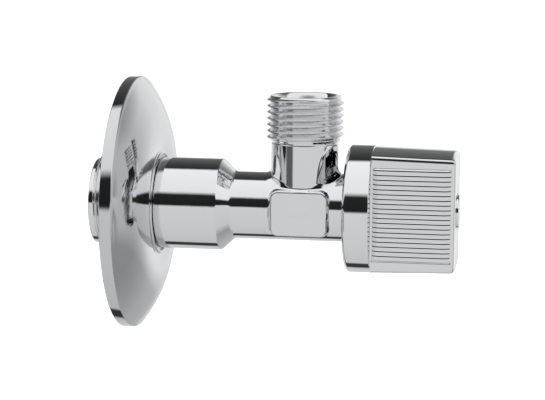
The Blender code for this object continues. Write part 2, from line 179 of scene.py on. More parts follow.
def outward(mesh, sharp_degrees=40):
    """Turns every face outwards and shades the mesh smooth between sharp edges."""
    work = bmesh.new()
    work.from_mesh(mesh)
    bmesh.ops.recalc_face_normals(work, faces=work.faces)
    work.to_mesh(mesh)
    work.free()
    mesh.shade_smooth()
    mesh.set_sharp_from_angle(angle=math.radians(sharp_degrees))
    return mesh


def linked(name, mesh):
    made = bpy.data.objects.new(name, mesh)
    bpy.context.scene.collection.objects.link(made)
    return made


def values_of(items, name, width=1, kind=float):
    """One attribute of all of a mesh's items, as an array with a row for each."""
    values = np.empty(len(items) * width, kind)
    items.foreach_get(name, values)
    return values.reshape(-1, width) if width > 1 else values


def evaluated(source, name):
    """The object with its modifiers applied, as a plain mesh object, and the source removed."""
    graph = bpy.context.evaluated_depsgraph_get()
    mesh = bpy.data.meshes.new_from_object(source.evaluated_get(graph))
    bpy.data.objects.remove(source, do_unlink=True)
    mesh.name = name
    return linked(name, mesh)


def dressed(piece, finish, slot, body, *nodes):
    """Gives a finished piece its material and hangs it on its CAD body."""
    piece.data.materials.clear()
    piece.data.materials.append(bpy.data.materials[finish])
    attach(piece, body)
    if nodes:
        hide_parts(*nodes)
    return piece


# --- Materials ------------------------------------------------------------------------------------


def new_material(name, **values):
    """A material's tree, its shader with these values set, and the place on the piece."""
    made = bpy.data.materials.new(name)
    made.use_nodes = True
    tree = made.node_tree
    shader = tree.nodes["Principled BSDF"]
    for label, value in values.items():
        shader.inputs[label.replace("_", " ")].default_value = value
    place = add(tree, "ShaderNodeTexCoord").outputs["Object"]
    return tree, shader, place


def noise(tree, place, size_mm, detail):
    """Cloudy noise with features of about that size."""
    inputs = {"Vector": place, "Scale": 1 / (size_mm * MM), "Detail": detail}
    return add(tree, "ShaderNodeTexNoise", inputs).outputs["Fac"]


def varied_gloss(tree, shader, source, roughness, spread, reach=(0.0, 1.0)):
    """Varies the roughness with the source, from one share of it to the other."""
    inputs = {0: source, 1: reach[0], 2: reach[1]}
    inputs |= {3: roughness * spread[0], 4: roughness * spread[1]}
    gloss = add(tree, "ShaderNodeMapRange", inputs)
    tree.links.new(gloss.outputs["Result"], shader.inputs["Roughness"])


def varied_colour(tree, shader, source, colour, dimmed, reach=(0.0, 1.0)):
    """Dims the colour to that share of it where the source is low."""
    ramp = add(tree, "ShaderNodeValToRGB", {"Fac": source})
    low, high = ramp.color_ramp.elements
    low.position, high.position = reach
    low.color = (*[c * dimmed for c in colour], 1)
    high.color = (*colour, 1)
    tree.links.new(ramp.outputs["Color"], shader.inputs["Base Color"])


def bumped(tree, shader, source, depth_mm):
    bump = add(tree, "ShaderNodeBump", {"Height": source, "Distance": depth_mm * MM})
    tree.links.new(bump.outputs["Normal"], shader.inputs["Normal"])


def chrome_plating(name, colour, roughness, ripple_mm, ripple_depth):
    """Bright chrome over polished metal: near-perfect reflections that waver very slightly.

    A soft ripple left by the polishing wheel bends long highlights, and faint wipe marks vary
    the gloss.
    """
    tree, shader, place = new_material(name, Base_Color=(*colour, 1), Metallic=1.0)
    wipes = noise(tree, place, 9, 5.0)
    varied_gloss(tree, shader, wipes, roughness, (0.7, 1.5), (0.35, 0.70))
    bumped(tree, shader, noise(tree, place, ripple_mm, 1.0), ripple_depth)


def thread_plating_with_painted_shade(name, colour, roughness):
    """Chrome over cut threads: duller than on polished faces, with painted shade that darkens the
    colour down in the roots.
    """
    tree, shader, place = new_material(name, Metallic=1.0)
    crest = add(tree, "ShaderNodeAttribute", attribute_name="crest").outputs["Fac"]
    # Painted shade: the base colour dims to 0.30 of the chrome colour towards the thread roots,
    # where the crest value is low
    varied_colour(tree, shader, crest, colour, 0.30, (0.0, 0.75))
    marks = noise(tree, place, 0.8, 3.0)
    varied_gloss(tree, shader, marks, roughness, (0.7, 1.3))
    bumped(tree, shader, marks, 0.006)


def turned_metal(name, colour, roughness, pitch_mm):
    """Bare turned metal: fine rings from the cutting tool round the X axis break up the shine."""
    tree, shader, place = new_material(name, Metallic=1.0, Roughness=roughness)
    waves_per_unit = 20
    rings = add(
        tree,
        "ShaderNodeTexWave",
        {
            "Vector": place,
            "Scale": 1 / (pitch_mm * MM * waves_per_unit),
            "Distortion": 1.5,
            "Detail": 2.0,
        },
        wave_type="BANDS",
        bands_direction="X",
    )
    varied_colour(tree, shader, noise(tree, place, 2.5, 4.0), colour, 0.72, (0.35, 0.70))
    bumped(tree, shader, rings.outputs["Fac"], 0.004)


def moulded(name, colour, roughness, grain_mm, depth_mm):
    """Moulded or pressed soft material: a matt skin with fine grain and slight shade changes."""
    tree, shader, place = new_material(name, Roughness=roughness)
    grain = noise(tree, place, grain_mm, 3.0)
    varied_colour(tree, shader, grain, colour, 0.75)
    bumped(tree, shader, grain, depth_mm)


class FinishSettings(bpy.types.PropertyGroup):
    chrome_colour: tint("Chrome", "Colour of the plating on brass", "#EDEEF0")
    sheet_colour: tint("Sheet chrome", "Colour of the pressed plate", "#DCDDDF")
    plastic_colour: tint("Plated ABS", "Colour of the plated knob", "#EFF0F1")
    brass_colour: tint("Brass", "Bare turned brass", "#D8B46A")
    steel_colour: tint("Zinc", "Zinc plated steel", "#B9BEC2")
    chrome_roughness: FloatProperty(
        name="Chrome roughness", description="Blur of the chrome", default=0.035, min=0, max=1
    )


class VALVE_OT_finishes(bpy.types.Operator):
    """Make the valve's materials"""

    bl_idname = "valve.finishes"
    bl_label = "Finishes"

    def execute(self, context):
        chosen = context.scene.valve_finishes
        rough = chosen.chrome_roughness
        chrome_plating("chrome_on_polished_brass", chosen.chrome_colour, rough, 1.2, 0.004)
        chrome_plating("chrome_on_pressed_sheet", chosen.sheet_colour, rough * 1.6, 9.0, 0.006)
        chrome_plating("chrome_on_moulded_abs", chosen.plastic_colour, rough * 0.8, 3.0, 0.002)
        thread_plating_with_painted_shade("chrome_in_cut_thread", chosen.chrome_colour, rough * 4)
        turned_metal("nickel_on_turned_brass", chosen.steel_colour, 0.25, 0.12)
        turned_metal("turned_brass", chosen.brass_colour, 0.28, 0.12)
        turned_metal("zinc_plated_steel", chosen.steel_colour, 0.35, 0.10)
        moulded("moulded_epdm", linear("#26272A"), 0.62, 0.35, 0.01)
        moulded("pressed_red_fibre", linear("#8A3A2A"), 0.85, 0.25, 0.02)
        moulded("ptfe_sheet", linear("#EFEFEA"), 0.42, 0.50, 0.005)
        return {"FINISHED"}


# --- Body -----------------------------------------------------------------------------------------


class BodySettings(bpy.types.PropertyGroup):
    corner_fillet: length(
        "Corner fillet", "Rounding where the shank leaves the neck", 1.5 * MM
    )
    pad_edge: length("Pad edge", "Rounding of the flat pad's edges", 0.55 * MM)
    voxel: length("Mesh size", "Size of the corner's mesh before it is fitted", 0.2 * MM)


CORNER_FROM_X = 0.0360
SHANK_TOP = 0.0138
PAD_LOW = np.array((-6.5, -7.7, -5.4)) * MM
PAD_HIGH = np.array((6.0, 7.7, 4.5)) * MM
PAD_CORNER = 1.8 * MM
PAD_FILLET = 0.5 * MM
SEAT_BORE = 3.6 * MM
OUTLET_BORE = 6.2 * MM
BARREL_RADIUS = 9.95 * MM
INLET_ROOT = 9.35 * MM
OUTLET_ROOT = 7.46 * MM
TOOL_TURN = 128
BLOCK_TURN = 96
FIT_ROUNDS = 8


def round_union(one, two, radius):
    """Joins two distance fields with a fillet of that radius."""
    a = np.maximum(radius - one, 0)
    b = np.maximum(radius - two, 0)
    return np.maximum(radius, np.minimum(one, two)) - np.hypot(a, b)


def round_cut(one, two, radius):
    """Keeps what two distance fields share, with a rounded edge of that radius."""
    a = np.maximum(radius + one, 0)
    b = np.maximum(radius + two, 0)
    return np.minimum(-radius, np.maximum(one, two)) + np.hypot(a, b)


def corner_distance(points, settings):
    """Distance from the outside of the body's corner, whose origin is where the two axes cross."""
    x, y, z = points.T
    neck = np.hypot(y, z) - NECK_RADIUS
    shank = np.maximum(np.hypot(x, y) - SHANK_RADIUS, -z)
    middle = (PAD_LOW + PAD_HIGH) / 2
    half = (PAD_HIGH - PAD_LOW) / 2
    along = np.abs(x - middle[0]) - half[0] + PAD_CORNER
    up = np.abs(z - middle[2]) - half[2] + PAD_CORNER
    outline = np.hypot(np.maximum(along, 0), np.maximum(up, 0))
    outline = outline + np.minimum(np.maximum(along, up), 0) - PAD_CORNER
    pad = round_cut(outline, np.abs(y) - half[1], settings.pad_edge)
    return round_union(round_union(neck, shank, settings.corner_fillet), pad, PAD_FILLET)


def corner_slope(points, settings):
    """Gradient of the distance, one row for each point."""
    reach = 0.01 * MM
    slope = np.empty_like(points)
    for axis in range(3):
        step = np.zeros(3)
        step[axis] = reach
        ahead = corner_distance(points + step, settings)
        slope[:, axis] = (ahead - corner_distance(points - step, settings)) / (2 * reach)
    return slope


def rod(name, low, high, radius, axis="X"):
    """A plain coarse cylinder on one of the corner's axes."""
    stations = [(low, 0), (low, radius), (high, radius), (high, 0)]
    return revolved(name, stations, BLOCK_TURN, axis=axis, loop=False)


def rough_corner(settings):
    """Neck, shank and pad as one even voxel mesh, a little longer than the finished corner."""
    neck = rod("neck_block", -13 * MM, 13 * MM, NECK_RADIUS)
    shank = rod("shank_block", 0, 16 * MM, SHANK_RADIUS, "Z")
    work = bmesh.new()
    work.from_mesh(neck.data)
    work.from_mesh(shank.data)
    block = bmesh.ops.create_cube(work, size=1)["verts"]
    bmesh.ops.scale(work, vec=Vector(PAD_HIGH - PAD_LOW), verts=block)
    bmesh.ops.translate(work, vec=Vector((PAD_HIGH + PAD_LOW) / 2), verts=block)
    mesh = bpy.data.meshes.new("corner_block")
    work.to_mesh(mesh)
    work.free()
    for used in (neck, shank):
        bpy.data.objects.remove(used, do_unlink=True)
    made = linked("corner_block", mesh)
    remesh = made.modifiers.new("even mesh", "REMESH")
    remesh.mode = "VOXEL"
    remesh.voxel_size = settings.voxel
    return evaluated(made, "corner_block")


def fitted_corner(settings):
    """Moves the voxel mesh onto the exact filleted surface, then trims its three ends flat."""
    made = rough_corner(settings)
    points = values_of(made.data.vertices, "co", 3)
    for _ in range(FIT_ROUNDS):
        slope = corner_slope(points, settings)
        steep = np.maximum((slope**2).sum(1, keepdims=True), 0.25)
        points = points - corner_distance(points, settings)[:, None] * slope / steep
    made.data.vertices.foreach_set("co", points.ravel())
    made.data.update()
    work = bmesh.new()
    work.from_mesh(made.data)
    ends = (
        ((CORNER_FROM_X - OUTLET_X, 0, 0), (-1, 0, 0)),
        ((body_high.x - OUTLET_X, 0, 0), (1, 0, 0)),
        ((0, 0, SHANK_TOP), (0, 0, 1)),
    )
    for place, facing in ends:
        everything = work.verts[:] + work.edges[:] + work.faces[:]
        bmesh.ops.bisect_plane(
            work, geom=everything, plane_co=place, plane_no=facing, clear_outer=True
        )
        rim = [edge for edge in work.edges if edge.is_boundary]
        bmesh.ops.holes_fill(work, edges=rim, sides=0)
    bmesh.ops.translate(work, vec=(OUTLET_X, 0, 0), verts=work.verts)
    work.to_mesh(made.data)
    work.free()
    return made


def bore_cutters():
    """Turned tools for the seat bore with the valve chamber, and for the outlet port."""
    seat_x, lip, seat_radius, chamber = 0.0413, 0.0005, 4.3 * MM, 5.9 * MM
    from_x, to_x = 0.0300, 0.0600
    port, port_end, bore_start, top = 4.6 * MM, 10.4 * MM, 12.0 * MM, 20 * MM
    along_inlet = [
        (from_x, 0),
        (from_x, SEAT_BORE),
        (seat_x, SEAT_BORE),
        (seat_x, seat_radius),
        (seat_x - lip, seat_radius),
        (seat_x - lip, chamber),
        (to_x, chamber),
        (to_x, 0),
    ]
    up_outlet = [
        (0, 0),
        (0, port),
        (port_end, port),
        (bore_start, OUTLET_BORE),
        (top, OUTLET_BORE),
        (top, 0),
    ]
    inlet = revolved("inlet_tool", along_inlet, TOOL_TURN, loop=False)
    outlet = revolved(
        "outlet_tool", up_outlet, TOOL_TURN, axis="Z", centre=(OUTLET_X, 0), loop=False
    )
    return inlet, outlet


def true_normals(made, settings):
    """Takes the shading of the outside from the exact surface, so that reflections run smoothly."""
    mesh = made.data
    mesh.shade_smooth()
    mesh.set_sharp_from_angle(angle=math.radians(35))
    points = values_of(mesh.vertices, "co", 3) - np.array((OUTLET_X, 0, 0))
    slope = corner_slope(points, settings)
    slope /= np.maximum(np.linalg.norm(slope, axis=1, keepdims=True), 1e-9)
    near = np.abs(corner_distance(points, settings)) < 0.002 * MM
    corner = values_of(mesh.loops, "vertex_index", kind=np.int32)
    normals = values_of(mesh.corner_normals, "vector", 3)
    sides = values_of(mesh.polygons, "loop_total", kind=np.int32)
    face = np.repeat(values_of(mesh.polygons, "normal", 3), sides, axis=0)
    outside = near[corner] & ((face * slope[corner]).sum(1) > 0.6)
    normals[outside] = slope[corner][outside]
    mesh.normals_split_custom_set(normals)


class VALVE_OT_body_corner(bpy.types.Operator):
    """Make the neck, the filleted corner with its flat pads and the lower shank"""

    bl_idname = "valve.body_corner"
    bl_label = "Body corner"

    def execute(self, context):
        settings = context.scene.valve_body
        made = fitted_corner(settings)
        tools = bore_cutters()
        for tool in tools:
            cut = made.modifiers.new(tool.name, "BOOLEAN")
            cut.operation = "DIFFERENCE"
            cut.object = tool
        made = evaluated(made, "body_corner")
        for tool in tools:
            bpy.data.objects.remove(tool, do_unlink=True)
        true_normals(made, settings)
        dressed(made, "chrome_on_polished_brass", "chromed_brass", "valve", "valve_body")
        return {"FINISHED"}


class VALVE_OT_inlet_barrel(bpy.types.Operator):
    """Make the inlet end, barrel and cone down to the neck"""

    bl_idname = "valve.inlet_barrel"
    bl_label = "Inlet barrel"

    def execute(self, context):
        root, start = INLET_ROOT, body_low.x
        stations = softened(
            (start, 7.1 * MM, 0),
            (start, root - 0.1 * MM, 0.3 * MM),
            (start + 0.2 * MM, root, 0.2 * MM),
            (10.9 * MM, root, 0.2 * MM),
            (11.6 * MM, 9.80 * MM, 0.3 * MM),
            (12.2 * MM, BARREL_RADIUS, 0.5 * MM),
            (28.0 * MM, BARREL_RADIUS, 0.45 * MM),
            (30.85 * MM, NECK_RADIUS, 1.2 * MM),
            (CORNER_FROM_X, NECK_RADIUS, 0),
            (CORNER_FROM_X, SEAT_BORE, 0),
            (30.0 * MM, SEAT_BORE, 0),
            (26.0 * MM, 7.0 * MM, 0.5 * MM),
            (start + 0.3 * MM, 7.0 * MM, 0),
        )
        made = revolved("inlet_barrel", stations)
        dressed(made, "chrome_on_polished_brass", "chromed_brass", "valve")
        return {"FINISHED"}


class VALVE_OT_outlet_nipple(bpy.types.Operator):
    """Make the core and rim of the outlet, above the plain shank"""

    bl_idname = "valve.outlet_nipple"
    bl_label = "Outlet nipple"

    def execute(self, context):
        top, root = body_high.z, OUTLET_ROOT
        stations = softened(
            (top - 0.70 * MM, OUTLET_BORE, 0),
            (top - 0.05 * MM, 6.72 * MM, 0.1 * MM),
            (top, 6.95 * MM, 0.1 * MM),
            (top, 7.50 * MM, 0.15 * MM),
            (top - 0.35 * MM, 7.75 * MM, 0.2 * MM),
            (top - 0.80 * MM, 7.90 * MM, 0.2 * MM),
            (top - 1.10 * MM, root, 0.1 * MM),
            (14.9 * MM, root, 0.3 * MM),
            (14.4 * MM, 7.10 * MM, 0.2 * MM),
            (14.1 * MM, 7.10 * MM, 0.1 * MM),
            (13.95 * MM, SHANK_RADIUS, 0.1 * MM),
            (SHANK_TOP, SHANK_RADIUS, 0),
            (SHANK_TOP, OUTLET_BORE, 0),
        )
        made = revolved("outlet_nipple", stations, axis="Z", centre=(OUTLET_X, 0))
        dressed(made, "chrome_on_polished_brass", "chromed_brass", "valve")
        return {"FINISHED"}


# --- Threads --------------------------------------------------------------------------------------


class ThreadSettings(bpy.types.PropertyGroup):
    outlet_pitch: length("Outlet pitch", "Pitch of the G3/8 thread", 1.337 * MM, precision=4)
    inlet_pitch: length("Inlet pitch", "Pitch of the G1/2 thread", 1.814 * MM, precision=4)
    steps_per_turn: IntProperty(
        name="Steps", description="Mesh steps in one turn", default=120, min=24
    )


# Mesh lines across a ridge: over its top and back under it
PROFILE_LINES = 36

# Share of a ridge's width that goes over its top, how deep its underside lies as a share of its
# height, and how far its ends sink below the root
OVER_SHARE = 0.8
UNDERSIDE_DEPTH = 0.35
END_SINK = 0.2 * MM

MERGE_WITHIN = 0.001 * MM


def node_group(name, sockets):
    """A geometry node tree with these named inputs, and the sockets that give their values."""
    tree = bpy.data.node_groups.new(name, "GeometryNodeTree")
    for label, (kind, default) in sockets.items():
        socket = tree.interface.new_socket(
            label, in_out="INPUT", socket_type="NodeSocket" + kind
        )
        if default is not None:
            socket.default_value = default
    tree.interface.new_socket(
        "Geometry", in_out="OUTPUT", socket_type="NodeSocketGeometry"
    )
    return tree, add(tree, "NodeGroupInput").outputs


def unit_grid(tree, along, across):
    """A grid of 1 by 1, and the place of each of its points from -0.5 to 0.5."""
    inputs = {"Size X": 1.0, "Size Y": 1.0, "Vertices X": along, "Vertices Y": across}
    grid = add(tree, "GeometryNodeMeshGrid", inputs).outputs["Mesh"]
    spot = add(tree, "GeometryNodeInputPosition").outputs[0]
    x, y, _ = add(tree, "ShaderNodeSeparateXYZ", {0: spot}).outputs
    return grid, x, y


def moved(tree, mesh, spot):
    inputs = {"Geometry": mesh, "Position": spot}
    return add(tree, "GeometryNodeSetPosition", inputs).outputs[0]


def merged(tree, mesh):
    inputs = {"Geometry": mesh, "Distance": MERGE_WITHIN}
    return add(tree, "GeometryNodeMergeByDistance", inputs).outputs[0]


def shaded_smooth(tree, mesh):
    return add(tree, "GeometryNodeSetShadeSmooth", {"Geometry": mesh}).outputs[0]


def joined(tree, *meshes):
    both = add(tree, "GeometryNodeJoinGeometry")
    for mesh in meshes:
        tree.links.new(mesh, both.inputs[0])
    return both.outputs[0]


def realized(tree, mesh):
    return add(tree, "GeometryNodeRealizeInstances", {"Geometry": mesh}).outputs[0]


def finished(tree, mesh, finish):
    """Coats the result and sends it out of the tree."""
    inputs = {"Geometry": mesh, "Material": finish}
    coated = add(tree, "GeometryNodeSetMaterial", inputs).outputs[0]
    add(tree, "NodeGroupOutput", {0: coated})
    return tree


def curved(tree, value, ends, spots):
    """A value bent by a curve, whose ends have these heights and which passes the spots."""
    node = add(tree, "ShaderNodeFloatCurve", {"Value": value})
    curve = node.mapping.curves[0]
    for point, along, height in zip(curve.points, (0.0, 1.0), ends):
        point.location = (along, height)
    for spot in spots:
        curve.points.new(*spot)
    node.mapping.update()
    return node.outputs[0]


def thread_tree():
    """Node tree of one thread ridge, wound up Z: a grid rolled into a closed helical ridge.

    Its length runs along the helix and its width round the ridge's section. The ridge sinks
    below the root at both ends, where it closes to a point.
    """
    tree, given = node_group(
        "thread ridge",
        {
            "Pitch": ("Float", 0.001337),
            "Turns": ("Float", 7.0),
            "Root Radius": ("Float", 0.0074),
            "Depth": ("Float", 0.0008),
            "Start": ("Float", 0.0143),
            "First Angle": ("Float", 0.0),
            "Run In": ("Float", 0.25),
            "Run Out": ("Float", 0.5),
            "Steps": ("Int", 800),
            "Finish": ("Material", None),
        },
    )
    calc = calculator(tree)

    grid, x, y = unit_grid(tree, given["Steps"], PROFILE_LINES)
    along = calc("ADD", x, 0.5)
    across = calc("ADD", y, 0.5)
    turns = calc("MULTIPLY", along, given["Turns"])

    # The first part of the width goes over the ridge, and the rest comes back under it
    over = calc("MINIMUM", calc("DIVIDE", across, OVER_SHARE), 1.0)
    past = calc("MAXIMUM", calc("SUBTRACT", across, OVER_SHARE), 0.0)
    under = calc("MULTIPLY", past, 1 / (1 - OVER_SHARE))
    half = ((0.06, 0.035), (0.12, 0.16), (0.38, 0.84), (0.44, 0.965))
    other_half = ((1 - place, height) for place, height in reversed(half))
    shape = curved(tree, over, (0.0, 0.0), (*half, (0.5, 1.0), *other_half))
    sunk = calc("MULTIPLY", calc("GREATER_THAN", under, 0.01), -UNDERSIDE_DEPTH)
    height = calc("ADD", shape, sunk)

    # Height grows from nothing at each end, over the run-in and the run-out
    left = calc("SUBTRACT", given["Turns"], turns)

    def growing(turns_in, full_after):
        inputs = {0: turns_in, 1: 0.0, 2: full_after}
        kind = "ShaderNodeMapRange"
        return add(tree, kind, inputs, interpolation_type="SMOOTHSTEP").outputs[0]

    growth = calc("MULTIPLY", growing(turns, given["Run In"]), growing(left, given["Run Out"]))
    lifted = calc("MULTIPLY", calc("MULTIPLY", height, growth), given["Depth"])
    sink = calc("MULTIPLY", calc("SUBTRACT", 1.0, growth), -END_SINK)
    radius = calc("ADD", given["Root Radius"], calc("ADD", lifted, sink))

    # Width narrows with the height, so that the ridge closes to a point
    side = calc("SUBTRACT", calc("SUBTRACT", over, under), 0.5)
    wide = calc("MULTIPLY", calc("MULTIPLY", side, growth), given["Pitch"])
    rise = calc("ADD", calc("MULTIPLY", turns, given["Pitch"]), given["Start"])
    high = calc("ADD", rise, wide)
    angle = calc("ADD", calc("MULTIPLY", turns, 2 * math.pi), given["First Angle"])
    ahead = calc("MULTIPLY", radius, calc("COSINE", angle))
    aside = calc("MULTIPLY", radius, calc("SINE", angle))
    rolled = moved(tree, grid, combined(tree, ahead, aside, high))
    smooth = shaded_smooth(tree, merged(tree, rolled))
    # crest runs from 0 at the root to 1 at the crest; the thread material uses it to paint shade
    # into the roots
    crest = calc("DIVIDE", calc("SUBTRACT", radius, given["Root Radius"]), given["Depth"])
    noted = add(
        tree,
        "GeometryNodeStoreNamedAttribute",
        {"Geometry": smooth, "Name": "crest", "Value": crest},
        data_type="FLOAT",
        domain="POINT",
    )
    return finished(tree, realized(tree, noted.outputs[0]), given["Finish"])


def grown(name, tree, values):
    """Runs a node tree on an empty object and returns its result as a plain mesh object."""
    seed = linked(name + "_seed", bpy.data.meshes.new(name + "_seed"))
    modifier = seed.modifiers.new("nodes", "NODES")
    modifier.node_group = tree
    for item in tree.interface.items_tree:
        if item.item_type == "SOCKET" and item.in_out == "INPUT" and item.name in values:
            modifier[item.identifier] = values[item.name]
    return evaluated(seed, name)


class VALVE_OT_threads(bpy.types.Operator):
    """Wind the male threads of the inlet and the outlet"""

    bl_idname = "valve.threads"
    bl_label = "Pipe threads"

    def execute(self, context):
        settings = context.scene.valve_threads
        tree = thread_tree()

        def wound(name, turns, values):
            counted = {"Turns": turns, "Steps": int(turns * settings.steps_per_turn)}
            finish = {"Finish": bpy.data.materials["chrome_in_cut_thread"]}
            return grown(name, tree, values | counted | finish)

        on_outlet = {
            "Pitch": settings.outlet_pitch,
            "Root Radius": OUTLET_ROOT,
            "Depth": 0.86 * MM,
            "Start": 14.35 * MM,
            "First Angle": math.radians(-60),
            "Run In": 0.45,
            "Run Out": 0.35,
        }
        on_inlet = {
            "Pitch": settings.inlet_pitch,
            "Root Radius": INLET_ROOT - 0.02 * MM,
            "Depth": 1.10 * MM,
            "Start": 0.55 * MM,
            "First Angle": 0.0,
            "Run In": 0.2,
            "Run Out": 0.6,
        }
        outlet = wound("outlet_thread", 7.15, on_outlet)
        outlet.data.transform(Matrix.Translation((OUTLET_X, 0, 0)))
        inlet = wound("inlet_thread", 5.6, on_inlet)
        inlet.data.transform(Matrix.Rotation(math.pi / 2, 4, "Y"))
        for made in (outlet, inlet):
            outward(made.data, 60)
            dressed(made, "chrome_in_cut_thread", "chromed_brass", "valve")
        return {"FINISHED"}


# --- Knob -----------------------------------------------------------------------------------------


class KnobSettings(bpy.types.PropertyGroup):
    half_width: length("Half width", "From the axis to a ribbed flat", 7.9 * MM)
    lobe_radius: length("Crown", "Radius of the crowned top and bottom", 29 * MM)
    corner_sharpness: FloatProperty(
        name="Corner sharpness", description="Higher is a tighter corner", default=40, min=4
    )
    rib_pitch: length("Rib pitch", "From rib to rib", 1.018 * MM)
    rib_count: IntProperty(name="Ribs", description="Ribs on each flat", default=19, min=1)
    rib_height: length("Rib height", "Height of a rib", 0.21 * MM)
    field_depth: length("Field depth", "How deep the ribbed field is sunk", 0.30 * MM)


FLANGE_END_X = 0.0612
END_ROUNDING = 0.9 * MM
FLANGE_RADIUS = knob_high.z
KNOB_WALL = 1.5 * MM
RIB_LENGTHS = ("Pitch", "Width", "Depth", "Face", "From", "To")
RIB_LINES = (25, 21)
LOBE_STEPS = 72
FIELD_END_X = knob_high.x - END_ROUNDING - 0.1 * MM


def knob_section(settings, half_height, inset=0.0):
    """Radius of the knob's section: two flats, gently crowned top and bottom, rounded corners."""
    flat = settings.half_width - inset
    top = half_height - inset
    sharpness = settings.corner_sharpness
    crown = settings.lobe_radius

    def section(angle):
        to_flat = flat / max(abs(math.cos(angle)), 1e-6)
        drop = (crown - top) * abs(math.sin(angle))
        to_lobe = math.sqrt(drop**2 + crown**2 - (crown - top) ** 2) - drop
        return (to_lobe**-sharpness + to_flat**-sharpness) ** (-1 / sharpness)

    return section


def knob_profile(settings):
    """Stations down the outside of the knob, through the screw recess and hub, and back inside."""
    start, end = knob_low.x, knob_high.x
    tall, taper = 13.45 * MM, 13.05 * MM
    stations = softened(
        (start, FLANGE_RADIUS - 1.6 * MM, 0),
        (start, FLANGE_RADIUS - 0.55 * MM, 0.25 * MM),
        (start + 0.55 * MM, FLANGE_RADIUS, 0.55 * MM),
        (FLANGE_END_X, FLANGE_RADIUS, 0.28 * MM),
        (FLANGE_END_X, 13.0 * MM, 0),
    )[:-1]
    stations.append((FLANGE_END_X, knob_section(settings, tall)))
    rounding = END_ROUNDING
    straight = end - rounding - FLANGE_END_X
    fine = [0.1 * MM * step for step in range(1, 13)]
    even = np.linspace(2 * MM, straight - 2 * MM, 12)
    for reach in (*fine, *even, *(straight - step for step in reversed(fine))):
        part = reach / straight
        section = knob_section(settings, tall + (taper - tall) * part)
        stations.append((FLANGE_END_X + reach, section))
    round_steps = 6
    for step in range(round_steps + 1):
        angle = math.pi / 2 * step / round_steps
        inset = rounding * (1 - math.cos(angle))
        along = end - rounding * (1 - math.sin(angle))
        stations.append((along, knob_section(settings, taper, inset)))
    recess, hub, screw, insert = 3.9 * MM, 5.9 * MM, 2.3 * MM, 4.8 * MM
    recess_end, insert_end, hub_end = 75.0 * MM, 73.9 * MM, 69.7 * MM
    ceiling = end - KNOB_WALL
    inside_x = FLANGE_END_X - 0.8 * MM
    stations += [
        (end, recess + 0.15 * MM),
        (end - 0.15 * MM, recess),
        (recess_end, recess),
        (recess_end, screw),
        (insert_end, screw),
        (insert_end, insert),
        (hub_end, insert),
        (hub_end, hub),
        (ceiling, hub),
        (ceiling, knob_section(settings, taper, KNOB_WALL)),
        (inside_x, knob_section(settings, tall, KNOB_WALL)),
        (inside_x, FLANGE_RADIUS - KNOB_WALL),
        (start + 0.2 * MM, FLANGE_RADIUS - KNOB_WALL),
    ]
    return stations


def sink_field(made, settings):
    """Presses the ribbed field into both flats, with a soft step round it."""
    half = settings.rib_pitch * settings.rib_count / 2 + 0.2 * MM
    from_x, to_x = FLANGE_END_X + 0.35 * MM, FIELD_END_X
    step = 0.5 * MM
    for vertex in made.data.vertices:
        x, y, z = vertex.co
        if abs(y) < settings.half_width - 0.4 * MM or x < FLANGE_END_X + 0.05 * MM:
            continue
        inside = min(x - from_x, to_x - x, half - abs(z))
        part = min(max(inside / step + 0.5, 0), 1)
        smooth = part * part * (3 - 2 * part)
        vertex.co.y = y - math.copysign(smooth * settings.field_depth, y)


def knob_turn(settings):
    """Angles round the knob that are evenly spaced up its flats and closer at its corners."""
    edge = 12.6 * MM
    climb = np.arctan2(np.arange(-edge, edge, 0.1 * MM), settings.half_width)
    corner = math.atan2(edge, settings.half_width)
    lobe = np.linspace(corner, math.pi - corner, LOBE_STEPS)[:-1]
    return np.concatenate([climb, lobe, climb + math.pi, lobe + math.pi])


def rib_tree():
    """Node tree of the ribs: a rounded bar along X, repeated up both flats of the knob."""
    tree, given = node_group(
        "knob ribs",
        {
            "Count": ("Int", None),
            **dict.fromkeys(RIB_LENGTHS, ("Float", None)),
            "Finish": ("Material", None),
        },
    )
    calc = calculator(tree)

    # A rib is a grid bent into a long low bar: its section's ends are sunk in the field
    grid, x, y = unit_grid(tree, *RIB_LINES)
    reach = {0: x, 1: -0.5, 2: 0.5, 3: given["From"], 4: given["To"]}
    lengthwise = add(tree, "ShaderNodeMapRange", reach).outputs[0]
    from_ridge = calc("ABSOLUTE", calc("MULTIPLY", y, 2.0))
    from_middle = calc("ABSOLUTE", calc("MULTIPLY", x, 2.0))
    round_top = ((0.30, 0.975), (0.55, 0.884), (0.70, 0.728), (0.85, 0.41))
    section = curved(tree, from_ridge, (1.0, 0.0), round_top)
    ends = curved(tree, from_middle, (1.0, 0.0), ((0.90, 1.0), (0.96, 0.85)))
    proud = calc("MULTIPLY", calc("MULTIPLY", section, ends), given["Depth"])
    sunk = 0.02 * MM
    out = calc("ADD", given["Face"], calc("SUBTRACT", proud, sunk))
    high = calc("MULTIPLY", y, given["Width"])
    spot = combined(tree, lengthwise, calc("MULTIPLY", out, -1.0), high)
    bent = moved(tree, grid, spot)
    thick = add(
        tree,
        "GeometryNodeExtrudeMesh",
        {
            "Mesh": bent,
            "Offset": (0.0, 1.0, 0.0),
            "Offset Scale": 0.3 * MM,
            "Individual": False,
        },
        mode="FACES",
    )
    flipped = add(tree, "GeometryNodeFlipFaces", {0: bent})
    bar = merged(tree, joined(tree, thick.outputs["Mesh"], flipped.outputs[0]))

    span = calc("MULTIPLY", calc("SUBTRACT", given["Count"], 1.0), given["Pitch"])
    row = add(
        tree,
        "GeometryNodeMeshLine",
        {
            "Count": given["Count"],
            "Start Location": combined(tree, z=calc("MULTIPLY", span, -0.5)),
            "Offset": combined(tree, z=given["Pitch"]),
        },
        mode="OFFSET",
        count_mode="TOTAL",
    )
    placed = {"Points": row.outputs[0], "Instance": bar}
    front = add(tree, "GeometryNodeInstanceOnPoints", placed).outputs[0]
    turned = {"Geometry": front, "Rotation": (math.pi, 0.0, 0.0)}
    back = add(tree, "GeometryNodeTransform", turned).outputs[0]
    real = realized(tree, joined(tree, front, back))
    return finished(tree, shaded_smooth(tree, real), given["Finish"])


